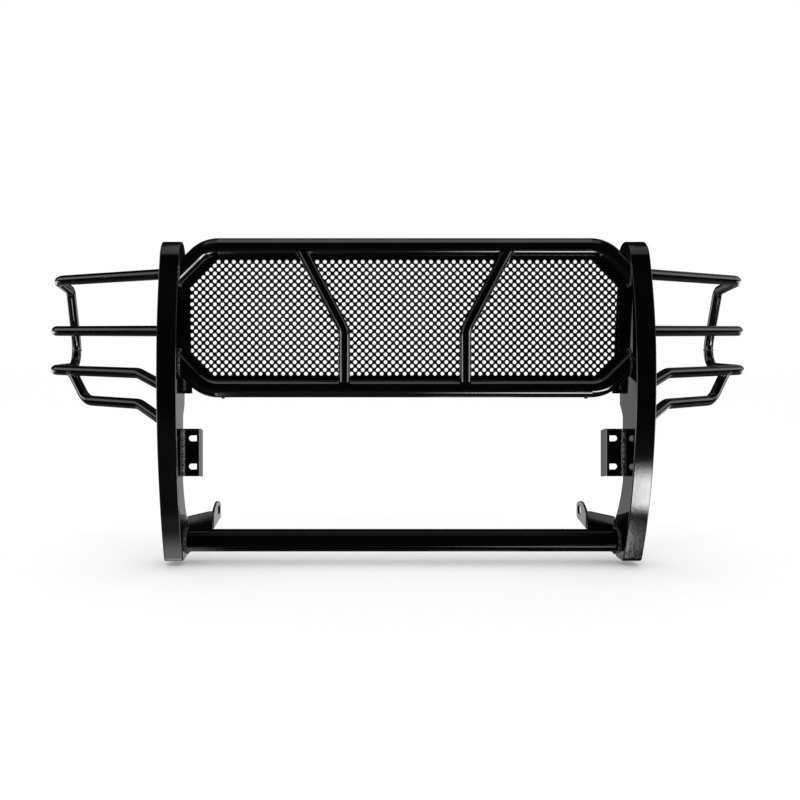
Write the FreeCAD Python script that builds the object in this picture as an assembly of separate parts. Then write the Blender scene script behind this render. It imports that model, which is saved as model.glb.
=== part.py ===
import FreeCAD, Part

import math
import os

# Front grille guard for a full-size pickup, in millimetres.
# X runs across the vehicle (+X to the right, seen from in front), +Y runs rearwards, +Z up.
# The origin is the centre of the four mounting slots, in the rear face of the slotted angles.

V = FreeCAD.Vector

# --- driving dimensions --------------------------------------------------------------------
FRONT_Y = -127.0            # foremost point of the uprights; every depth below counts from here

# uprights
UPRIGHT_WIDTH = 50.8
UPRIGHT_INNER_X = 585.6     # face turned to the grille
UPRIGHT_PLATE = 5.0
BAND_PLATE = 5.0
BAND_EDGE_ROUND = 3.0
BELLY_Z = 215.0             # height at which the front face stands upright
UPPER_FRONT_R = 875.0
NOSE_R = 65.0
NOSE_ANGLE = math.radians(20.2)
LOWER_FRONT_R = 1068.0
TOE_R = 20.0
FOOT_Z = -292.0
FOOT_DEPTH = 212.0          # how far the foot reaches back
BAND_FOOT_DEPTH = 196.0

# centre frame, perforated sheet and dividers
FRAME_DEPTH = 70.0
FRAME_MID_Z = 357.6
FRAME_HALF_HEIGHT = 183.65
FRAME_CORNER_SUM = 702.0    # |x| + |z - FRAME_MID_Z| along the sloping corners
FRAME_TUBE = 48.3
FRAME_WALL = 2.5
FRAME_BEND_R = 80.0
SHEET_FRONT_DEPTH = 67.0
SHEET_THICK = 3.0
SHEET_HALF_WIDTH = 576.0
HOLE_D = 10.0
HOLE_PITCH_X = 19.77
HOLE_ROW_STEP = 10.05
HOLE_ROWS = 30
HOLE_LAST_X = 555.0
HOLE_SUM_TOP = 631.0        # |x| + |z - FRAME_MID_Z| of the outermost holes, upper corners
HOLE_SUM_BOTTOM = 641.0
DIVIDER_TUBE = 30.0
DIVIDER_WALL = 2.0
DIVIDER_X = 157.0
DIVIDER_BEND_Z = 325.0
DIVIDER_SLOPE = 0.531
DIVIDER_BEND_R = 60.0
DIVIDER_TOP_Z = 529.0       # level cuts at its two ends
DIVIDER_FOOT_Z = 192.0
DRAIN_PLUG_X = 473.0
DRAIN_PLUG_D = 9.0
DRAIN_PLUG_STAND = 3.0

# grille side strips, behind the sheet on the uprights
STRIP_WIDTH = 20.6
STRIP_PLATE = 5.0
STRIP_TOP = (99.0, 455.0)   # depth, height
STRIP_FOOT = (151.5, 155.0)

# lower cross tube
CROSS_TUBE = 60.3
CROSS_WALL = 3.2
CROSS_DEPTH = 180.0
CROSS_Z = -245.0

# slotted mounting angles
ANGLE_INNER_X = 538.5
ANGLE_PLATE = 6.0
ANGLE_HALF_HEIGHT = 63.0
ANGLE_LEG_DEPTH = 172.0
ANGLE_BEND_R = 8.0
SLOT_WIDTH = 16.0
SLOT_START_X = 548.5
SLOT_END_X = 570.0
SLOT_SPACING_Z = 75.0

# frame brackets at the feet
BRACKET_PLATE = 6.0
BRACKET_BEND = (521.0, 250.0)   # x, depth of the fold line
BRACKET_TIP = (507.0, 303.0)
BRACKET_ROOT_DEPTH = 206.0
BRACKET_EYE = (288.0, -181.0)   # depth, height of the eye slot's middle
BRACKET_EYE_WIDTH = 16.0
BRACKET_EYE_LENGTH = 26.0

# brush guards
BRUSH_TUBE = 28.6
BRUSH_WALL = 2.0
BRUSH_TOP_Z = 471.0
BRUSH_MID_Z = 323.2
BRUSH_LOW_Z = 211.0
BRUSH_LOOP_Z = 128.0
BRUSH_TIP_R = 70.0
BRUSH_ELBOW_R = 45.0
BRUSH_ROOT_R = 60.0
POST_X = 988.0
POST_DEPTH = 602.0
POST_SEAM_Z = 263.0
BURIED = 14.0               # how far a tube's axis starts inside the face that trims it


# --- shared shape makers -------------------------------------------------------------------
def at(x, depth, z):
    """Point from a width, a depth behind the foremost point and a height."""
    return V(x, FRONT_Y + depth, z)


def bent_path(points, radii):
    """Straight runs between the points, joined by tangent arcs at the inner ones."""
    edges, start = [], points[0]
    for i in range(1, len(points) - 1):
        corner = points[i]
        back = (points[i - 1] - corner).normalize()
        onward = (points[i + 1] - corner).normalize()
        half_turn = (math.pi - back.getAngle(onward)) / 2
        reach = radii[i - 1] * math.tan(half_turn)
        inward = (back + onward).normalize()
        centre = corner + inward * (radii[i - 1] / math.cos(half_turn))
        arc_in, arc_out = corner + back * reach, corner + onward * reach
        edges.append(Part.LineSegment(start, arc_in).toShape())
        edges.append(Part.Arc(arc_in, centre - inward * radii[i - 1], arc_out).toShape())
        start = arc_out
    edges.append(Part.LineSegment(start, points[-1]).toShape())
    return Part.Wire(edges)


def rod(points, radii, diameter):
    """Solid round bar along a bent path."""
    path = bent_path(points, radii)
    ring = Part.Circle(points[0], points[1] - points[0], diameter / 2).toShape()
    return path.makePipeShell([Part.Wire(ring)], True, True)


def tube(points, radii, diameter, wall):
    """Hollow tube along a bent path."""
    return rod(points, radii, diameter).cut(rod(points, radii, diameter - 2 * wall))


def beyond(x):
    """Everything outboard of a plane across the vehicle, on the +X side."""
    size = 1600.0
    return Part.makeBox(size, size, size, V(x, -size / 2, -size / 2))


def inboard(x):
    """Everything between the middle of the vehicle and that plane."""
    size = 1600.0
    return Part.makeBox(x, size, size, V(0, -size / 2, -size / 2))


def mirrored(shape):
    return shape.mirror(V(0, 0, 0), V(1, 0, 0))


def side_plate(outline, x_from, thickness):
    """Plate standing fore and aft: an outline of edges at x = 0, given its thickness along X."""
    plate = Part.Face(Part.Wire(outline)).extrude(V(thickness, 0, 0))
    plate.translate(V(x_from, 0, 0))
    return plate


def polygon(points):
    """Closed run of straight edges."""
    loop = points + points[:1]
    return [Part.LineSegment(a, b).toShape() for a, b in zip(loop, loop[1:])]


# --- uprights ------------------------------------------------------------------------------
def front_outline(inset):
    """Edges of the upright's nose, front and toe, and its two end points.

    inset moves the whole run inwards, which gives the band's inner side and the side plates'
    front edge. The run goes from behind the nose, over it, down the front and round the toe.
    """
    nose = V(0, FRONT_Y + UPPER_FRONT_R - (UPPER_FRONT_R - NOSE_R) * math.cos(NOSE_ANGLE),
             BELLY_Z + (UPPER_FRONT_R - NOSE_R) * math.sin(NOSE_ANGLE))
    upper = V(0, FRONT_Y + UPPER_FRONT_R, BELLY_Z)
    lower = V(0, FRONT_Y + LOWER_FRONT_R, BELLY_Z)
    toe_sine = (BELLY_Z - FOOT_Z - TOE_R) / (LOWER_FRONT_R - TOE_R)
    toe_angle = math.asin(toe_sine)
    toe = V(0, FRONT_Y + LOWER_FRONT_R - (LOWER_FRONT_R - TOE_R) * math.cos(toe_angle),
            FOOT_Z + TOE_R)

    def on(centre, radius, angle):
        """Point at an angle above straight ahead, seen from the circle's centre."""
        r = radius - inset
        return centre + V(0, -r * math.cos(angle), r * math.sin(angle))

    def arc(centre, radius, first, last):
        middle = (first + last) / 2
        return Part.Arc(on(centre, radius, first), on(centre, radius, middle),
                        on(centre, radius, last)).toShape()

    edges = [arc(nose, NOSE_R, math.pi, NOSE_ANGLE),
             arc(upper, UPPER_FRONT_R, NOSE_ANGLE, 0.0),
             arc(lower, LOWER_FRONT_R, 0.0, -toe_angle),
             arc(toe, TOE_R, -toe_angle, -math.pi / 2)]
    return edges, on(nose, NOSE_R, math.pi), on(toe, TOE_R, -math.pi / 2)


def upright_band():
    """Strip bent over the nose, down the front and under the foot, with eased long edges."""
    outer, outer_back, outer_toe = front_outline(0.0)
    inner, inner_back, inner_toe = front_outline(BAND_PLATE)
    outer_heel = at(0, BAND_FOOT_DEPTH, outer_toe.z)
    inner_heel = at(0, BAND_FOOT_DEPTH, inner_toe.z)
    straight = [(outer_back, inner_back), (outer_toe, outer_heel),
                (outer_heel, inner_heel), (inner_heel, inner_toe)]
    edges = outer + inner + [Part.LineSegment(a, b).toShape() for a, b in straight]
    loop = [edge for chain in Part.sortEdges(edges) for edge in chain]
    band = side_plate(loop, UPRIGHT_INNER_X, UPRIGHT_WIDTH)
    long_edges = [e for e in band.Edges if is_outer_long_edge(e)]
    return band.makeFillet(BAND_EDGE_ROUND, long_edges)


def is_outer_long_edge(edge):
    """True for the band's outer edges along its front face, nose and toe."""
    if not isinstance(edge.Curve, Part.Circle):
        return False
    radii = (NOSE_R, UPPER_FRONT_R, LOWER_FRONT_R, TOE_R)
    return any(abs(edge.Curve.Radius - r) < 0.01 for r in radii)


def upright_plate(x_from):
    """Profile-cut side plate: it fills the band, steps in for the bumper and flares at the foot."""
    front, back, toe = front_outline(BAND_PLATE)
    shoulder = at(0, 154.0, 126.0)
    waist_top = at(0, 128.0, 97.0)
    waist_foot = at(0, 126.0, -73.0)
    flare_end = at(0, FOOT_DEPTH, -200.0)
    heel = at(0, FOOT_DEPTH, toe.z)
    runs = [(back, shoulder), (shoulder, waist_top), (waist_top, waist_foot),
            (flare_end, heel), (heel, toe)]
    edges = front + [Part.LineSegment(a, b).toShape() for a, b in runs]
    edges.append(Part.Arc(waist_foot, at(0, 164.0, -146.0), flare_end).toShape())
    loop = [edge for chain in Part.sortEdges(edges) for edge in chain]
    return side_plate(loop, x_from, UPRIGHT_PLATE)


# --- parts fixed to the uprights -----------------------------------------------------------
def grille_side_strip():
    """Narrow flat welded to the inner side plate, leaning back towards its foot."""
    (top_depth, top_z), (foot_depth, foot_z) = STRIP_TOP, STRIP_FOOT
    outline = polygon([at(0, top_depth, top_z), at(0, top_depth + STRIP_PLATE, top_z),
                       at(0, foot_depth + STRIP_PLATE, foot_z), at(0, foot_depth, foot_z)])
    return side_plate(outline, UPRIGHT_INNER_X - STRIP_WIDTH, STRIP_WIDTH)


def mount_angle():
    """Formed angle: a slotted face across the vehicle and a leg running back."""
    rear = -FRONT_Y
    front = rear - ANGLE_PLATE
    inner_r = ANGLE_BEND_R - ANGLE_PLATE
    height = 2 * ANGLE_HALF_HEIGHT + 40
    base = -height / 2
    x0, x1 = ANGLE_INNER_X, UPRIGHT_INNER_X
    bend = (x0 + ANGLE_BEND_R, front + ANGLE_BEND_R)
    diagonal = math.sqrt(0.5)

    def corner(radius):
        return Part.Arc(at(bend[0], bend[1] - radius, base),
                        at(bend[0] - radius * diagonal, bend[1] - radius * diagonal, base),
                        at(bend[0] - radius, bend[1], base)).toShape()

    runs = [(at(bend[0], front, base), at(x1, front, base)),
            (at(x1, front, base), at(x1, rear, base)),
            (at(x1, rear, base), at(bend[0], rear, base)),
            (at(x0 + ANGLE_PLATE, bend[1], base), at(x0 + ANGLE_PLATE, ANGLE_LEG_DEPTH, base)),
            (at(x0 + ANGLE_PLATE, ANGLE_LEG_DEPTH, base), at(x0, ANGLE_LEG_DEPTH, base)),
            (at(x0, ANGLE_LEG_DEPTH, base), at(x0, bend[1], base))]
    edges = [Part.LineSegment(a, b).toShape() for a, b in runs]
    edges += [corner(ANGLE_BEND_R), corner(inner_r)]
    loop = [edge for chain in Part.sortEdges(edges) for edge in chain]
    blank = Part.Face(Part.Wire(loop)).extrude(V(0, 0, height))
    top, leg_top, leg_foot = ANGLE_HALF_HEIGHT, 54.0, -71.0
    outline = polygon([at(0, front - 1, top), at(0, rear + 2, top),
                       at(0, ANGLE_LEG_DEPTH + 1, leg_top), at(0, ANGLE_LEG_DEPTH + 1, leg_foot),
                       at(0, rear + 2, -top), at(0, front - 1, -top)])
    angle = blank.common(side_plate(outline, x0 - 1, x1 - x0 + 2))
    for side in (-1, 1):
        angle = angle.cut(mount_slot(side * SLOT_SPACING_Z / 2))
    return angle


def mount_slot(z):
    """Cutter for one slot: round towards the upright, square towards the leg."""
    half = SLOT_WIDTH / 2
    depth = -FRONT_Y - ANGLE_PLATE - 5
    centre_x = SLOT_END_X - half
    runs = [(at(centre_x, depth, z - half), at(SLOT_START_X, depth, z - half)),
            (at(SLOT_START_X, depth, z - half), at(SLOT_START_X, depth, z + half)),
            (at(SLOT_START_X, depth, z + half), at(centre_x, depth, z + half))]
    edges = [Part.LineSegment(a, b).toShape() for a, b in runs]
    edges.append(Part.Arc(at(centre_x, depth, z + half), at(SLOT_END_X, depth, z),
                          at(centre_x, depth, z - half)).toShape())
    return Part.Face(Part.Wire(edges)).extrude(V(0, ANGLE_PLATE + 10, 0))


def frame_bracket():
    """Tapered arm folded into an eye plate that lies along the vehicle's frame rail."""
    x_root, half = UPRIGHT_INNER_X, BRACKET_PLATE / 2
    bend = at(BRACKET_BEND[0], BRACKET_BEND[1], 0)
    tip = at(BRACKET_TIP[0], BRACKET_TIP[1], 0)
    root = at(x_root + 20, BRACKET_ROOT_DEPTH - 12, 0)
    low, height = -320.0, 200.0
    path = bent_path([root, bend, tip], [14.0])
    path.translate(V(0, 0, low))
    along = (bend - root).normalize()
    across = V(-along.y, along.x, 0) * half
    start = root + V(0, 0, low)
    profile = polygon([start - across, start + across,
                       start + across + V(0, 0, height), start - across + V(0, 0, height)])
    strip = path.makePipeShell([Part.Wire(profile)], True, True)
    eye_depth, eye_z = BRACKET_EYE
    d0, d1, d2 = BRACKET_ROOT_DEPTH - 14, BRACKET_BEND[1], BRACKET_TIP[1]
    runs = [(at(0, d0, -306.0), at(0, d1, -227.0)), (at(0, d1, -227.0), at(0, d2 - 8, -207.0)),
            (at(0, d2, -197.0), at(0, d2 + 2, eye_z)),
            (at(0, eye_depth - 22, -164.0), at(0, d1 + 5, -176.0)),
            (at(0, d1 + 5, -176.0), at(0, d1 + 5, -183.0)),
            (at(0, d1 + 5, -183.0), at(0, d1 - 2, -183.0)),
            (at(0, d1 - 2, -183.0), at(0, d1 - 2, -178.0)),
            (at(0, d1 - 2, -178.0), at(0, d0, -189.0)), (at(0, d0, -189.0), at(0, d0, -306.0))]
    edges = [Part.LineSegment(a, b).toShape() for a, b in runs]
    edges.append(Part.Arc(at(0, d2 - 8, -207.0), at(0, d2 - 2, -203.0),
                          at(0, d2, -197.0)).toShape())
    edges.append(Part.Arc(at(0, d2 + 2, eye_z), at(0, eye_depth + 6, eye_z + 22.0),
                          at(0, eye_depth - 22, -164.0)).toShape())
    loop = [edge for chain in Part.sortEdges(edges) for edge in chain]
    bracket = strip.common(side_plate(loop, 480.0, 160.0)).cut(beyond(x_root))
    return bracket.cut(eye_slot(eye_depth, eye_z))


def eye_slot(depth, z):
    """Cutter for the upright slot in the eye plate."""
    half = BRACKET_EYE_WIDTH / 2
    rise = BRACKET_EYE_LENGTH / 2 - half
    edges = [Part.LineSegment(at(0, depth - half, z - rise), at(0, depth - half, z + rise)),
             Part.Arc(at(0, depth - half, z + rise), at(0, depth, z + rise + half),
                      at(0, depth + half, z + rise)),
             Part.LineSegment(at(0, depth + half, z + rise), at(0, depth + half, z - rise)),
             Part.Arc(at(0, depth + half, z - rise), at(0, depth, z - rise - half),
                      at(0, depth - half, z - rise))]
    return side_plate([e.toShape() for e in edges], 480.0, 70.0)


def lower_cross_tube():
    ends = [at(-UPRIGHT_INNER_X, CROSS_DEPTH, CROSS_Z), at(UPRIGHT_INNER_X, CROSS_DEPTH, CROSS_Z)]
    return tube(ends, [], CROSS_TUBE, CROSS_WALL)


# --- centre frame --------------------------------------------------------------------------
def frame_points(side):
    """Centre line of the upper (side = 1) or lower (side = -1) frame tube."""
    corner_x = FRAME_CORNER_SUM - FRAME_HALF_HEIGHT
    end_x = UPRIGHT_INNER_X + BURIED
    edge_z = FRAME_MID_Z + side * FRAME_HALF_HEIGHT
    end_z = FRAME_MID_Z + side * (FRAME_CORNER_SUM - end_x)
    return [at(-end_x, FRAME_DEPTH, end_z), at(-corner_x, FRAME_DEPTH, edge_z),
            at(corner_x, FRAME_DEPTH, edge_z), at(end_x, FRAME_DEPTH, end_z)]


def frame_tube(side):
    bent = tube(frame_points(side), [FRAME_BEND_R, FRAME_BEND_R], FRAME_TUBE, FRAME_WALL)
    trim = beyond(UPRIGHT_INNER_X)
    return bent.cut(trim).cut(mirrored(trim))


def frame_rod(side):
    return rod(frame_points(side), [FRAME_BEND_R, FRAME_BEND_R], FRAME_TUBE)


def hole_centres():
    """Staggered rows of holes, fewer towards the sloping corners."""
    centres = []
    for row in range(HOLE_ROWS):
        rise = ((HOLE_ROWS - 1) / 2 - row) * HOLE_ROW_STEP
        limit = HOLE_SUM_TOP if rise > 0 else HOLE_SUM_BOTTOM
        reach = min(HOLE_LAST_X, limit - abs(rise))
        shift = 0.5 if row % 2 == 0 else 0.0
        count = int(reach / HOLE_PITCH_X - shift)
        for i in range(-count - int(2 * shift), count + 1):
            centres.append(((i + shift) * HOLE_PITCH_X, FRAME_MID_Z + rise))
    return centres


def perforated_sheet():
    """Eight-sided sheet inside the frame tubes, with all its holes."""
    edge_z = FRAME_HALF_HEIGHT - FRAME_TUBE / 2
    corner_sum = FRAME_CORNER_SUM - FRAME_TUBE / 2 * math.sqrt(2)
    side_z, top_x = corner_sum - SHEET_HALF_WIDTH, corner_sum - edge_z
    quarter = [(SHEET_HALF_WIDTH, side_z), (top_x, edge_z)]
    ring = quarter + [(-x, z) for x, z in reversed(quarter)]
    ring += [(-x, -z) for x, z in quarter] + [(x, -z) for x, z in reversed(quarter)]
    corners = [at(x, SHEET_FRONT_DEPTH, FRAME_MID_Z + z) for x, z in ring]
    wires = [Part.Wire(polygon(corners))]
    for x, z in hole_centres():
        hole = Part.Circle(at(x, SHEET_FRONT_DEPTH, z), V(0, 1, 0), HOLE_D / 2)
        wires.append(Part.Wire(hole.toShape()))
    face = Part.makeFace(wires, "Part::FaceMakerBullseye")
    return face.extrude(V(0, SHEET_THICK, 0))


def divider():
    """Bent tube down the front of the sheet, notched over both frame tubes."""
    depth = SHEET_FRONT_DEPTH - DIVIDER_TUBE / 2
    top_z = FRAME_MID_Z + FRAME_HALF_HEIGHT
    foot_z = FRAME_MID_Z - FRAME_HALF_HEIGHT
    top_x = DIVIDER_X + DIVIDER_SLOPE * (top_z - DIVIDER_BEND_Z)
    points = [at(top_x, depth, top_z), at(DIVIDER_X, depth, DIVIDER_BEND_Z),
              at(DIVIDER_X, depth, foot_z)]
    bent = tube(points, [DIVIDER_BEND_R], DIVIDER_TUBE, DIVIDER_WALL)
    span = DIVIDER_TOP_Z - DIVIDER_FOOT_Z
    bent = bent.common(Part.makeBox(400, 400, span, V(0, -300, DIVIDER_FOOT_Z)))
    for side in (-1, 1):
        bent = bent.cut(frame_rod(side))
    return largest(bent)


def largest(shape):
    """The biggest solid of a cut, without the crumbs a notch leaves."""
    return max(shape.Solids, key=lambda solid: solid.Volume)


def drain_plugs():
    """Two small domed plugs under the lower frame tube."""
    foot_z = FRAME_MID_Z - FRAME_HALF_HEIGHT - FRAME_TUBE / 2
    plugs = []
    for side in (-1, 1):
        base = at(side * DRAIN_PLUG_X, FRAME_DEPTH, foot_z - DRAIN_PLUG_STAND)
        stem = Part.makeCylinder(DRAIN_PLUG_D / 2, DRAIN_PLUG_STAND + 4, base, V(0, 0, 1))
        lower_rim = [e for e in stem.Edges if e.Closed and e.CenterOfMass.z < base.z + 0.01]
        plugs.append(largest(stem.makeFillet(1.2, lower_rim).cut(frame_rod(-1))))
    return Part.makeCompound(plugs)


# --- brush guards --------------------------------------------------------------------------
def outboard_start(depth, z, towards):
    """Point on a tube's axis a little inside the upright's outer face."""
    face = at(UPRIGHT_INNER_X + UPRIGHT_WIDTH, depth, z)
    return face - (towards - face).normalize() * BURIED


def top_hoop_points():
    tip = at(974.0, 330.0, BRUSH_TOP_Z - 4)
    elbow = at(983.0, 509.0, 445.0)
    knee = at(POST_X, POST_DEPTH - 2, 283.0)
    seam = at(POST_X, POST_DEPTH, POST_SEAM_Z)
    return [outboard_start(70.0, BRUSH_TOP_Z, tip), tip, elbow, knee, seam]


def low_hoop_points():
    dip = at(705.0, 130.0, BRUSH_LOW_Z)
    tip = at(992.0, 350.0, BRUSH_LOW_Z)
    heel = at(POST_X + 2, POST_DEPTH, BRUSH_LOW_Z)
    seam = at(POST_X, POST_DEPTH, POST_SEAM_Z)
    return [outboard_start(75.0, 182.0, dip), dip, tip, heel, seam]


TOP_HOOP_RADII = [BRUSH_TIP_R, 38.0, 100.0]
LOW_HOOP_RADII = [BRUSH_ROOT_R, BRUSH_TIP_R, BRUSH_ELBOW_R]


def trimmed_brush_tube(points, radii):
    """Brush-guard tube cut flush with the upright's outer face."""
    bent = tube(points, radii, BRUSH_TUBE, BRUSH_WALL)
    return bent.cut(inboard(UPRIGHT_INNER_X + UPRIGHT_WIDTH))


def brush_top_hoop():
    """Top rail that turns back along the wing and down into the end post."""
    return trimmed_brush_tube(top_hoop_points(), TOP_HOOP_RADII)


def brush_low_hoop():
    """Lower rail that turns back along the wing and up into the end post."""
    return trimmed_brush_tube(low_hoop_points(), LOW_HOOP_RADII)


def brush_mid_rail():
    """Middle rail, notched over the end post."""
    tip = at(993.0, 360.0, BRUSH_MID_Z)
    end = at(POST_X - 1, POST_DEPTH - 24, BRUSH_MID_Z)
    points = [outboard_start(75.0, BRUSH_MID_Z, tip), tip, end]
    post = rod(top_hoop_points(), TOP_HOOP_RADII, BRUSH_TUBE)
    return largest(trimmed_brush_tube(points, [BRUSH_TIP_R]).cut(post))


def brush_loop():
    """Lowest tube: from the upright out to a corner, then up to the low rail."""
    dip = at(705.0, 140.0, BRUSH_LOOP_Z)
    corner = at(881.0, 283.0, BRUSH_LOOP_Z)
    end = at(928.0, 301.0, BRUSH_LOW_Z)
    points = [outboard_start(75.0, 93.0, dip), dip, corner, end]
    rail = rod(low_hoop_points(), LOW_HOOP_RADII, BRUSH_TUBE)
    bent = trimmed_brush_tube(points, [BRUSH_ROOT_R, BRUSH_ELBOW_R])
    return largest(bent.cut(rail))


# --- write every piece ---------------------------------------------------------------------
def all_pieces():
    outer_plate_x = UPRIGHT_INNER_X + UPRIGHT_WIDTH - UPRIGHT_PLATE
    handed = {
        "upright_band": upright_band(),
        "upright_inner_plate": upright_plate(UPRIGHT_INNER_X),
        "upright_outer_plate": upright_plate(outer_plate_x),
        "grille_side_strip": grille_side_strip(),
        "mount_angle": mount_angle(),
        "frame_bracket": frame_bracket(),
        "divider": divider(),
        "brush_top_hoop": brush_top_hoop(),
        "brush_mid_rail": brush_mid_rail(),
        "brush_low_hoop": brush_low_hoop(),
        "brush_loop": brush_loop(),
    }
    pieces = {
        "frame_top_tube": frame_tube(1),
        "frame_bottom_tube": frame_tube(-1),
        "perforated_sheet": perforated_sheet(),
        "lower_cross_tube": lower_cross_tube(),
        "drain_plugs": drain_plugs(),
    }
    for name, shape in handed.items():
        pieces[name + "_right"] = shape
        pieces[name + "_left"] = mirrored(shape)
    return pieces


os.makedirs("parts", exist_ok=True)
for node, shape in all_pieces().items():
    shape.exportStep(os.path.join("parts", node + ".step"))
    box = shape.BoundBox
    print(f"{node:28s} solids {len(shape.Solids)}  valid {shape.isValid()}  "
          f"volume {shape.Volume / 1000:9.2f} cm3  "
          f"x {box.XMin:8.1f} {box.XMax:8.1f}  y {box.YMin:7.1f} {box.YMax:7.1f}  "
          f"z {box.ZMin:7.1f} {box.ZMax:7.1f}")
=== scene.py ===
import math

import bmesh
import bpy
from mathutils import Matrix, Vector


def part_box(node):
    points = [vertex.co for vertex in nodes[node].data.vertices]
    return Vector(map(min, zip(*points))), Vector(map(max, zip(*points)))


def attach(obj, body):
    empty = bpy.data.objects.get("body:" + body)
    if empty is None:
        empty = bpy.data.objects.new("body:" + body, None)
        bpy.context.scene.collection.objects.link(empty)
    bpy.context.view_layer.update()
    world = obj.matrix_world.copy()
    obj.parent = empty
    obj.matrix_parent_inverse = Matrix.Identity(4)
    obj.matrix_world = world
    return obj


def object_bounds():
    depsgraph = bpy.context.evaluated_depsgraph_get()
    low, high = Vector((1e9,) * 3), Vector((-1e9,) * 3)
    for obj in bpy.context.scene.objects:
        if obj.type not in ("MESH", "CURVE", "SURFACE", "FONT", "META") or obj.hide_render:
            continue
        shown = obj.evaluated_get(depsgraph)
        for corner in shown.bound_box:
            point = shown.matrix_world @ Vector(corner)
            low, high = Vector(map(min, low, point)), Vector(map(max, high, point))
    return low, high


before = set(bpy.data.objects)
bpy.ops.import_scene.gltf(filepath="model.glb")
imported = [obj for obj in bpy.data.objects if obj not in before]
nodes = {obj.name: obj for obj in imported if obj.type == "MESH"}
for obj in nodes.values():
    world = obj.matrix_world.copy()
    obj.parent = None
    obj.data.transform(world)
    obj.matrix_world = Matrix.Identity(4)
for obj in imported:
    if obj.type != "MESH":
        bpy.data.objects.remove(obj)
cad_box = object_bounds()


# --- Uprights ------------------------------------------------------------------------------
# Each upright is two profile-cut steel plates closed by a strip bent over the nose, down the
# front and round the toe. The seams are welded inside and dressed, then the whole guard is
# sprayed with gloss black powder and baked, which leaves a faint orange peel.
class Field:
    """A shader socket that takes part in plain arithmetic."""

    def __init__(self, tree, socket):
        self.tree = tree
        self.socket = socket

    def math(self, operation, a, b):
        node = self.tree.nodes.new("ShaderNodeMath")
        node.operation = operation
        for put, value in zip(node.inputs, (a, b)):
            plug(self.tree, put, value)
        return Field(self.tree, node.outputs[0])

    def __mul__(self, other):
        return self.math("MULTIPLY", self, other)

    def __add__(self, other):
        return self.math("ADD", self, other)

    def __sub__(self, other):
        return self.math("SUBTRACT", self, other)

    def __rsub__(self, other):
        return self.math("SUBTRACT", other, self)

    def __abs__(self):
        return self.math("ABSOLUTE", self, 0.0)

    __rmul__ = __mul__
    __radd__ = __add__


def plug(tree, put, value):
    """Links a field to an input, or sets a plain value on it."""
    if isinstance(value, Field):
        tree.links.new(value.socket, put)
    else:
        put.default_value = value


class Finish:
    """A material being put together from nodes, on Object coordinates."""

    def __init__(self, name):
        self.material = bpy.data.materials.new(name)
        self.material.use_nodes = True
        self.tree = self.material.node_tree
        self.shader = self.tree.nodes["Principled BSDF"]
        self.place = self.node("ShaderNodeTexCoord", out="Object")

    def node(self, kind, settings=(), out=0, stops=(), **values):
        """Adds a node, sets it up and returns one of its outputs as a field."""
        made = self.tree.nodes.new(kind)
        for name, value in dict(settings).items():
            setattr(made, name, value)
        if stops:
            for element, (position, level) in zip(made.color_ramp.elements, stops):
                element.position = position
                element.color = (level, level, level, 1)
        for name, value in values.items():
            plug(self.tree, made.inputs[name.replace("_", " ")], value)
        return Field(self.tree, made.outputs[out])

    def noise(self, scale, detail=2.0):
        return self.node("ShaderNodeTexNoise", Vector=self.place, Scale=scale, Detail=detail)

    def patches(self, scale, low, high, detail=4.0):
        """Noise cut to soft patches between 0 and 1."""
        return self.node("ShaderNodeValToRGB", stops=((low, 0.0), (high, 1.0)),
                         Fac=self.noise(scale, detail))

    def blend(self, mask, base, top):
        """Colour that goes from base to top with the mask."""
        mixed = self.tree.nodes.new("ShaderNodeMix")
        mixed.data_type = "RGBA"
        for put, value in zip((0, 6, 7), (mask, base, top)):
            plug(self.tree, mixed.inputs[put], value)
        return Field(self.tree, mixed.outputs[2])

    def bump(self, height, depth, strength):
        return self.node("ShaderNodeBump", out="Normal", Strength=strength, Distance=depth,
                         Height=height)

    def surface(self, **inputs):
        for name, value in inputs.items():
            plug(self.tree, self.shader.inputs[name.replace("_", " ")], value)
        return self.material


COAT_BLACK = (0.0010, 0.0010, 0.0012, 1)
COAT_DUSTY = (0.0040, 0.0040, 0.0042, 1)
COAT_SPECK = (0.024, 0.024, 0.025, 1)
PEEL_DEPTH = 0.0006


def powder_coat(name, dullness, dust_cover=0.30, flow_scale=150.0, shine=0.5):
    """Gloss black powder: dark, with orange peel, a few pinholes and a little settled dust."""
    coat = Finish(name)
    dust = coat.patches(8.0, 0.50, 0.82)
    haze = coat.patches(2.3, 0.35, 0.75, detail=3.0)
    pinholes = coat.patches(520.0, 0.72, 0.80, detail=1.0)
    colour = coat.blend(dust * dust_cover, COAT_BLACK, COAT_DUSTY)
    colour = coat.blend(pinholes * 0.22, colour, COAT_SPECK)
    peel = coat.noise(flow_scale, 1.5) + 0.3 * coat.noise(flow_scale * 3.4, 1.0)
    roughness = dullness + 0.035 * haze + 0.09 * dust
    return coat.surface(Base_Color=colour, Roughness=roughness, Specular_IOR_Level=shine,
                        Normal=coat.bump(peel - 0.8 * pinholes, PEEL_DEPTH, 0.09))


def coated(material, *names):
    """Gives CAD nodes their finish."""
    for name in names:
        slots = nodes[name].data.materials
        slots.clear()
        slots.append(material)


def both_sides(name):
    return name + "_right", name + "_left"


coated(powder_coat("upright_face_coat", dullness=0.05, flow_scale=120.0),
       *both_sides("upright_band"))
coated(powder_coat("upright_side_coat", dullness=0.045, flow_scale=90.0),
       *both_sides("upright_inner_plate"), *both_sides("upright_outer_plate"))
front_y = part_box("upright_band_right")[0].y
inner_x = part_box("upright_inner_plate_right")[0].x
outer_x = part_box("upright_outer_plate_right")[1].x


def at(x, depth, z):
    """Point from a width, a depth behind the uprights' foremost line and a height."""
    return Vector((x, front_y + depth, z))


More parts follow.
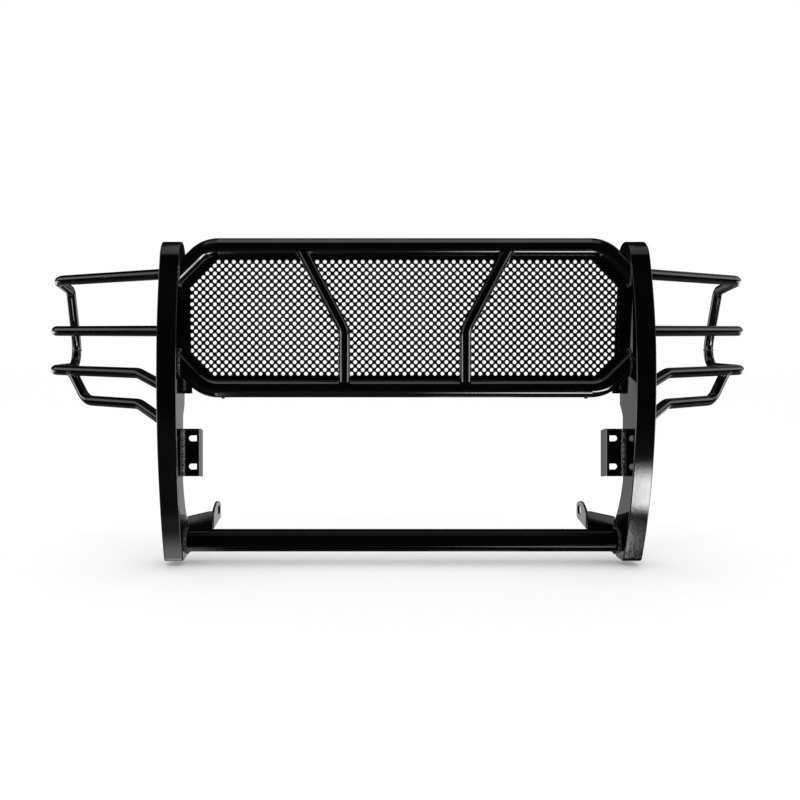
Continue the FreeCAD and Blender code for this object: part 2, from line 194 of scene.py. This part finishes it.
# --- Centre frame tubes --------------------------------------------------------------------
# The upper and lower frame tubes are cold bent at two corners and welded to the inner side
# plates. The fillets are laid by hand and sprayed over, so their ripples still show.
FRAME_TUBE_R = 0.02415
FRAME_CORNER_SUM = 0.702
FRAME_BEAD_LEG = 0.0036
RIPPLE_PITCH = 0.0030
RIPPLE_LEAN = 0.35
tube_coat = powder_coat("frame_tube_coat", dullness=0.045, flow_scale=170.0)
coated(tube_coat, "frame_top_tube", "frame_bottom_tube")


def weld_finish(name, spatter_or_glint_colour=COAT_SPECK, cover=0.5):
    """The same powder, thinner and less even over the ripples and their spatter. Given a pale colour,
    the spatter patches become painted glints.
    """
    coat = Finish(name)
    spatter_and_glint_mask = coat.patches(300.0, 0.45, 0.70, detail=3.0)
    # Dark specks here are spatter under the powder; pale specks are painted glints.
    colour = coat.blend(spatter_and_glint_mask * cover, COAT_BLACK, spatter_or_glint_colour)
    return coat.surface(Base_Color=colour, Roughness=0.06 + 0.10 * spatter_and_glint_mask, Specular_IOR_Level=1.0,
                        Normal=coat.bump(spatter_and_glint_mask, 0.0016, 1.0))


weld_coat = weld_finish("weld_coat")


def evenly(line, pitch):
    """Points and directions at an even pitch along a line of points."""
    lengths = [(b - a).length for a, b in zip(line, line[1:])]
    pitch = sum(lengths) / max(1, round(sum(lengths) / pitch))
    reached, spot = 0.0, pitch / 2
    for start, end, length in zip(line, line[1:], lengths):
        while spot < reached + length:
            yield start.lerp(end, (spot - reached) / length), (end - start).normalized()
            spot += pitch
        reached += length


def lay_bead(form, line, leg):
    """Adds one bead of that leg size: each ripple leans on the one before it."""
    for count, (spot, along) in enumerate(evenly(line, RIPPLE_PITCH)):
        turn = along.to_track_quat("X", "Z").to_matrix().to_4x4()
        size = leg * (1.0 + 0.07 * math.sin(2.4 * count) + 0.05 * math.sin(5.3 * count))
        ripple = Matrix.Rotation(RIPPLE_LEAN, 4, "Y") @ Matrix.Diagonal((RIPPLE_PITCH, size, size, 1))
        bmesh.ops.create_icosphere(form, subdivisions=2, radius=1.0,
                                   matrix=Matrix.Translation(spot) @ turn @ ripple)


def weld_piece(name, beads, finish=weld_coat):
    """One object from a list of (line, leg) beads and their mirror images across the middle."""
    form = bmesh.new()
    for line, leg in beads:
        for side in (1, -1):
            lay_bead(form, [Vector((side * p.x, p.y, p.z)) for p in line], leg)
    for face in form.faces:
        face.smooth = True
    mesh = bpy.data.meshes.new(name)
    form.to_mesh(mesh)
    form.free()
    mesh.materials.append(finish)
    piece = bpy.data.objects.new(name, mesh)
    bpy.context.scene.collection.objects.link(piece)
    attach(piece, "root")


def around(axis_point, axis, radius, meet, steps=48):
    """Line round a tube from its front, each point pushed along the tube to where meet says."""
    axis = axis.normalized()
    front = Vector((0, -1, 0))
    front = (front - axis * front.dot(axis)).normalized()
    other = axis.cross(front)
    line = []
    for i in range(steps + 1):
        turn = 2 * math.pi * i / steps
        rim = axis_point + radius * (front * math.cos(turn) + other * math.sin(turn))
        reach = meet(rim, axis)
        if reach is not None:
            line.append(rim + axis * reach)
    return line


def on_plate(x):
    """Where a line meets a plate face that stands across it at x."""
    return lambda point, along: (x - point.x) / along.x


top_low, top_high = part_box("frame_top_tube")
bottom_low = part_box("frame_bottom_tube")[0]
frame_y = (top_low.y + top_high.y) / 2
frame_top_z = top_high.z - FRAME_TUBE_R
frame_foot_z = bottom_low.z + FRAME_TUBE_R
frame_mid_z = (frame_top_z + frame_foot_z) / 2
frame_end_rise = FRAME_CORNER_SUM - inner_x
weld_piece("weld_frame_tubes", [
    (around(Vector((inner_x, frame_y, frame_mid_z + side * frame_end_rise)),
            Vector((1, 0, -side)), FRAME_TUBE_R, on_plate(inner_x)), FRAME_BEAD_LEG)
    for side in (1, -1)])


# --- Perforated sheet ----------------------------------------------------------------------
# Staggered-hole steel sheet, cut to eight sides and stitch welded from behind to the frame
# tubes. The powder builds up a little round each punched hole.
STITCH = 0.028
STITCHES = 9
STITCH_LEG = 0.0026
coated(powder_coat("perforated_sheet_coat", dullness=0.10, dust_cover=0.20, flow_scale=260.0,
                   shine=0.3), "perforated_sheet")
sheet_low, sheet_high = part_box("perforated_sheet")


def sheet_stitches():
    """Short beads along the back of the sheet's upper and lower edges."""
    reach = FRAME_CORNER_SUM - (frame_top_z - frame_mid_z) - 0.06
    for z in (sheet_high.z - 0.001, sheet_low.z + 0.001):
        for i in range(STITCHES):
            x = reach * (i + 0.5) / STITCHES
            yield [Vector((x - STITCH / 2, sheet_high.y + 0.0005, z)),
                   Vector((x + STITCH / 2, sheet_high.y + 0.0005, z))], STITCH_LEG


weld_piece("weld_sheet_stitches", sheet_stitches())


# --- Dividers ------------------------------------------------------------------------------
# Two bent tubes stand against the front of the sheet. Their ends are notched over the frame
# tubes, and each notch and open lip is closed with weld.
DIVIDER_R = 0.015
DIVIDER_X = 0.157
DIVIDER_SLOPE = 0.531
DIVIDER_BEND_Z = 0.325
NOTCH_LEG = 0.0024
LIP_LEG = 0.0052
coated(tube_coat, *both_sides("divider"))
divider_low, divider_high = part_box("divider_right")
divider_y = sheet_low.y - DIVIDER_R


def on_tube(centre, direction, radius):
    """Where a line first meets a tube, or nothing where it passes by."""
    direction = direction.normalized()

    def meet(point, along):
        gap = point - centre
        gap -= direction * gap.dot(direction)
        run = along - direction * along.dot(direction)
        a, b, c = run.dot(run), 2 * gap.dot(run), gap.dot(gap) - radius * radius
        inside = b * b - 4 * a * c
        return (-b - math.sqrt(inside)) / (2 * a) if inside > 0 else None

    return meet


def divider_beads():
    """The notch line and the lip bead of both ends of the right-hand divider."""
    lean = Vector((DIVIDER_SLOPE, 0, 1))
    knee = Vector((DIVIDER_X, divider_y, DIVIDER_BEND_Z))
    ends = ((knee, lean, frame_top_z, divider_high.z, 1),
            (knee, Vector((0, 0, -1)), frame_foot_z, divider_low.z, -1))
    for point, axis, tube_z, cut_z, way in ends:
        meet = on_tube(Vector((0, frame_y, tube_z)), Vector((1, 0, 0)), FRAME_TUBE_R)
        notch = [p for p in around(point, axis, DIVIDER_R, meet) if way * (cut_z - p.z) > 0]
        yield notch, NOTCH_LEG
        middle = point + axis * ((cut_z - point.z) / axis.z)
        lip = [Vector((middle.x + x, divider_y - 0.003, cut_z - way * 0.0035))
               for x in (-0.0085, 0.0085)]
        yield lip, LIP_LEG


weld_piece("weld_dividers", divider_beads())


# --- Drain plugs ---------------------------------------------------------------------------
# Two push-in plastic plugs close the drain holes under the lower frame tube.
def plug_plastic():
    plastic = Finish("plug_plastic")
    grain = plastic.noise(900.0, 2.0)
    scuff = plastic.patches(60.0, 0.55, 0.8)
    colour = plastic.blend(scuff * 0.3, (0.018, 0.018, 0.018, 1), (0.05, 0.05, 0.05, 1))
    return plastic.surface(Base_Color=colour, Roughness=0.45 + 0.15 * scuff,
                           Normal=plastic.bump(grain, 0.0002, 0.3))


coated(plug_plastic(), "drain_plugs")


# --- Grille side strips --------------------------------------------------------------------
# A narrow flat leans back behind the frame on each inner plate, held by three short welds.
STRIP_TOP = (0.099, 0.455)
STRIP_FOOT = (0.1515, 0.155)
STRIP_STITCHES = (0.04, 0.16), (0.44, 0.56), (0.84, 0.97)
STRIP_BEAD_LEG = 0.0036
coated(powder_coat("side_strip_coat", dullness=0.08), *both_sides("grille_side_strip"))
strip_top = at(inner_x - 0.0010, *STRIP_TOP)
strip_foot = at(inner_x - 0.0010, *STRIP_FOOT)
weld_piece("weld_side_strips", [
    ([strip_top.lerp(strip_foot, start), strip_top.lerp(strip_foot, end)], STRIP_BEAD_LEG)
    for start, end in STRIP_STITCHES])


# --- Lower cross tube ----------------------------------------------------------------------
# The largest tube ties the feet together. It is welded all round to both inner plates.
CROSS_BEAD_LEG = 0.0040
coated(powder_coat("cross_tube_coat", dullness=0.045, flow_scale=140.0, shine=0.08),
       "lower_cross_tube")
cross_low, cross_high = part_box("lower_cross_tube")
cross_middle = (cross_low + cross_high) / 2
cross_r = (cross_high.z - cross_low.z) / 2
weld_piece("weld_cross_tube", [
    (around(Vector((inner_x - 0.001, cross_middle.y, cross_middle.z)), Vector((1, 0, 0)),
            cross_r, on_plate(inner_x - 0.001)), CROSS_BEAD_LEG)])


# --- Mounting angles -----------------------------------------------------------------------
# Formed steel angles with two slots each. Their faces are welded down both sides to the inner
# plates with a heavy fillet, since they carry the guard.
ANGLE_PLATE = 0.006
ANGLE_BEAD_HALF = 0.0605
ANGLE_FRONT_LEG, ANGLE_REAR_LEG = 0.0056, 0.0040
# The angle welds are covered in pale grey specks: painted glints standing in for the sparkle of a lit
# bead.
PAINTED_GLINT_GREY = (0.42, 0.42, 0.43, 1)
coated(powder_coat("mount_angle_coat", dullness=0.09), *both_sides("mount_angle"))
weld_piece("weld_mount_angles", [
    ([Vector((inner_x - 0.0015, y, ANGLE_BEAD_HALF)),
      Vector((inner_x - 0.0015, y, -ANGLE_BEAD_HALF))], leg)
    for y, leg in ((-ANGLE_PLATE - 0.001, ANGLE_FRONT_LEG), (0.001, ANGLE_REAR_LEG))],
    finish=weld_finish("angle_weld_painted_glint_coat", spatter_or_glint_colour=PAINTED_GLINT_GREY, cover=0.9))


# --- Frame brackets ------------------------------------------------------------------------
# Plate arms run in and back from the feet, and fold into an eye plate along the frame rail.
# The arm is welded to the rear corner of the inner plate on both its faces.
ARM_ROOT = (0.2055, 0.2125)
ARM_BEAD_TOP, ARM_BEAD_FOOT = -0.196, -0.286
ARM_BEAD_LEG = 0.0038
coated(powder_coat("bracket_coat", dullness=0.12), *both_sides("frame_bracket"))
weld_piece("weld_brackets", [
    ([at(inner_x - 0.001, depth, ARM_BEAD_TOP), at(inner_x - 0.001, depth, ARM_BEAD_FOOT)],
     ARM_BEAD_LEG)
    for depth in ARM_ROOT])


# --- Brush guards --------------------------------------------------------------------------
# Four bent tubes wrap each headlamp. The top and low rails meet in a butt weld on the end
# post, the middle rail is notched over the post, and the loop is notched under the low rail.
BRUSH_R = 0.0143
ROOT_LEG, SEAM_LEG, NOTCH_BEAD_LEG = 0.0030, 0.0028, 0.0026
MID_Z = 0.3232
LOW_Z = 0.211
BRUSH_ROOTS = (
    ((0.070, 0.471), (0.974, 0.330, 0.467)),
    ((0.075, MID_Z), (0.993, 0.360, MID_Z)),
    ((0.075, 0.182), (0.705, 0.130, LOW_Z)),
    ((0.075, 0.093), (0.705, 0.140, 0.128)),
)
POST_TOP, POST_FOOT = (0.983, 0.509, 0.445), (0.988, 0.600, 0.283)
SEAM = (0.988, 0.602, 0.263)
MID_CORNER, MID_END = (0.993, 0.360, MID_Z), (0.987, 0.578, MID_Z)
LOW_FRONT, LOW_CORNER = (0.705, 0.130, LOW_Z), (0.992, 0.350, LOW_Z)
LOOP_CORNER, LOOP_END = (0.881, 0.283, 0.128), (0.928, 0.301, LOW_Z)
brush_coat = powder_coat("brush_tube_coat", dullness=0.06, flow_scale=190.0)
for rail in ("brush_top_hoop", "brush_mid_rail", "brush_low_hoop", "brush_loop"):
    coated(brush_coat, *both_sides(rail))


def brush_root_beads():
    """Fillet round each tube where it lands on the upright's outer plate."""
    for (depth, z), towards in BRUSH_ROOTS:
        root = at(outer_x, depth, z)
        yield around(root, at(*towards) - root, BRUSH_R, on_plate(outer_x)), ROOT_LEG


def brush_joint_beads():
    """The butt weld on the post, and the notched ends of the middle rail and the loop."""
    level = around(at(*SEAM), Vector((0, 0, 1)), BRUSH_R - 0.0012, lambda point, along: 0.0)
    yield level, SEAM_LEG
    post = on_tube(at(*POST_TOP), at(*POST_FOOT) - at(*POST_TOP), BRUSH_R)
    tip = at(*MID_CORNER)
    yield around(tip, at(*MID_END) - tip, BRUSH_R, post), NOTCH_BEAD_LEG
    rail = on_tube(at(*LOW_FRONT), at(*LOW_CORNER) - at(*LOW_FRONT), BRUSH_R)
    corner = at(*LOOP_CORNER)
    yield around(corner, at(*LOOP_END) - corner, BRUSH_R, rail), NOTCH_BEAD_LEG


weld_piece("weld_brush_roots", brush_root_beads())
weld_piece("weld_brush_joints", brush_joint_beads())


# --- Studio --------------------------------------------------------------------------------
# A pale seamless floor and white surroundings. The glossy coat mirrors a dimmer room instead,
# with a panel overhead, soft lights at the sides and back, and a strong lamp low in front.
FLOOR_GAP = 0.012
FLOOR_HALF = 9.0


def studio_paper():
    paper = Finish("studio_paper")
    tone = paper.patches(0.8, 0.2, 0.9)
    colour = paper.blend(tone, (0.88, 0.88, 0.88, 1), (0.91, 0.91, 0.91, 1))
    return paper.surface(Base_Color=colour, Roughness=0.9, Specular_IOR_Level=0.1,
                         Emission_Color=(1, 1, 1, 1), Emission_Strength=0.12)


def floor_sheet():
    form = bmesh.new()
    bmesh.ops.create_grid(form, x_segments=1, y_segments=1, size=FLOOR_HALF)
    bmesh.ops.translate(form, verts=form.verts, vec=(0, 3.0, cad_box[0][2] - FLOOR_GAP))
    mesh = bpy.data.meshes.new("floor")
    form.to_mesh(mesh)
    form.free()
    mesh.materials.append(studio_paper())
    floor = bpy.data.objects.new("floor", mesh)
    bpy.context.scene.collection.objects.link(floor)
    floor.visible_glossy = False


def studio_world():
    """The room as the glossy coat mirrors it, by direction; everything else sees plain white."""
    world = bpy.data.worlds.new("studio")
    world.use_nodes = True
    tree = world.node_tree
    place = tree.nodes.new("ShaderNodeTexCoord")
    split = tree.nodes.new("ShaderNodeSeparateXYZ")
    tree.links.new(place.outputs["Generated"], split.inputs[0])
    across, back, up = (Field(tree, split.outputs[i]) for i in range(3))

    def ramp(value, start, end):
        """0 before start, 1 after end, smooth between; the two may run either way."""
        step = tree.nodes.new("ShaderNodeMapRange")
        step.interpolation_type = "SMOOTHSTEP"
        for put, number in zip(step.inputs, (value, start, end, 0.0, 1.0)):
            plug(tree, put, number)
        return Field(tree, step.outputs[0])

    def between(value, low, high, soft):
        """1 from low to high, fading out over the soft width on either side."""
        return ramp(value, low - soft, low) * ramp(value, high + soft, high)

    aside = abs(across)
    # behind the guard, where the side plates look, and along the rims of the brush rails
    wall = between(across, -0.31, -0.22, 0.02) + between(across, 0.105, 0.165, 0.02)
    wall = (0.10 + 0.36 * wall) * ramp(back, 0.15, 0.45) * ramp(up, 0.060, 0.035)
    rims = 0.2 * ramp(back, 0.30, 0.50) * ramp(up, 0.02, 0.05)
    rims = rims * (ramp(across, 0.305, 0.325) + between(across, -0.225, -0.185, 0.01))
    # the far corners, and the panel overhead
    corners = 2.6 * ramp(back, 0.35, 0.55) * ramp(aside, 0.45, 0.62)
    corners = corners * ramp(up, 0.05, -0.05) * ramp(up, -0.36, -0.28)
    middle = ramp(across, 0.285, 0.262) * ramp(across, -0.165, -0.14)
    panel = ramp(up, 0.86, 0.90) * (0.1 + 0.75 * middle)
    floor = 0.05 * ramp(up, -0.20, -0.45)
    # low in front: the lamp, the wide glow below it and the light under the toes
    front = ramp(back, -0.30, -0.45)
    lamp = 22.0 * front * ramp(across, 0.255, 0.285) * ramp(across, 0.62, 0.50)
    lamp = lamp * ramp(up, -0.498, -0.622) * ramp(up, -0.745, -0.685)
    glow = front * ramp(up, -0.74, -0.80) * ramp(up, -0.93, -0.88)
    glow = glow * (0.18 + 14.0 * ramp(across, 0.07, 0.22) * ramp(across, 0.275, 0.25))
    under = 3.0 * ramp(up, -0.83, -0.93) * ramp(across, -0.10, -0.13) * ramp(across, -0.19, -0.17)
    # either side, from the front round to the back
    sides = 1.6 * ramp(aside, 0.62, 0.74) * ramp(back, -0.2, -0.35) * ramp(up, 0.0, -0.10)
    wings = 1.5 * ramp(aside, 0.75, 0.90) * ramp(up, 0.08, 0.20)
    arms = 1.8 * ramp(aside, 0.86, 0.92) * ramp(back, 0.22, 0.30) * ramp(up, -0.05, -0.15)
    edges = 9.0 * ramp(aside, 0.84, 0.90) * ramp(back, -0.10, -0.16) * ramp(back, -0.42, -0.36)
    edges = edges * ramp(up, 0.12, 0.02) * ramp(up, -0.34, -0.24)
    room = 0.008 + wall + rims + corners + panel + floor + lamp + glow + under
    room = room + sides + wings + arms + edges
    sight = tree.nodes.new("ShaderNodeLightPath")
    gloss = Field(tree, sight.outputs["Is Glossy Ray"])
    backdrop = tree.nodes["Background"]
    backdrop.inputs["Color"].default_value = (1, 1, 1, 1)
    plug(tree, backdrop.inputs["Strength"], 1.0 - gloss + gloss * room)
    bpy.context.scene.world = world


def soft_box(name, place, aim, width, depth, power):
    light = bpy.data.lights.new(name, "AREA")
    light.shape = "RECTANGLE"
    light.size = width
    light.size_y = depth
    light.energy = power
    lamp = bpy.data.objects.new(name, light)
    lamp.location = place
    lamp.rotation_euler = (Vector(aim) - Vector(place)).to_track_quat("-Z", "Y").to_euler()
    bpy.context.scene.collection.objects.link(lamp)


floor_sheet()
studio_world()
soft_box("overhead", (0, -0.6, 2.9), (0, 0, 0.1), width=3.4, depth=2.0, power=12)


# --- Camera --------------------------------------------------------------------------------
# Level with the grille, left of the middle and looking straight back.
EYE_LEFT = -0.1864
EYE_HEIGHT = 0.3232
EYE_DISTANCE = 2.600
view = bpy.data.cameras.new("camera")
view.sensor_width = 36.0
view.lens = 46.06
view.shift_x = 0.08375
view.shift_y = -0.08625
camera = bpy.data.objects.new("camera", view)
camera.location = (EYE_LEFT, front_y - EYE_DISTANCE, EYE_HEIGHT)
camera.rotation_euler = (math.pi / 2, 0, 0)
bpy.context.scene.collection.objects.link(camera)
bpy.context.scene.camera = camera
bpy.context.scene.view_settings.view_transform = "Standard"
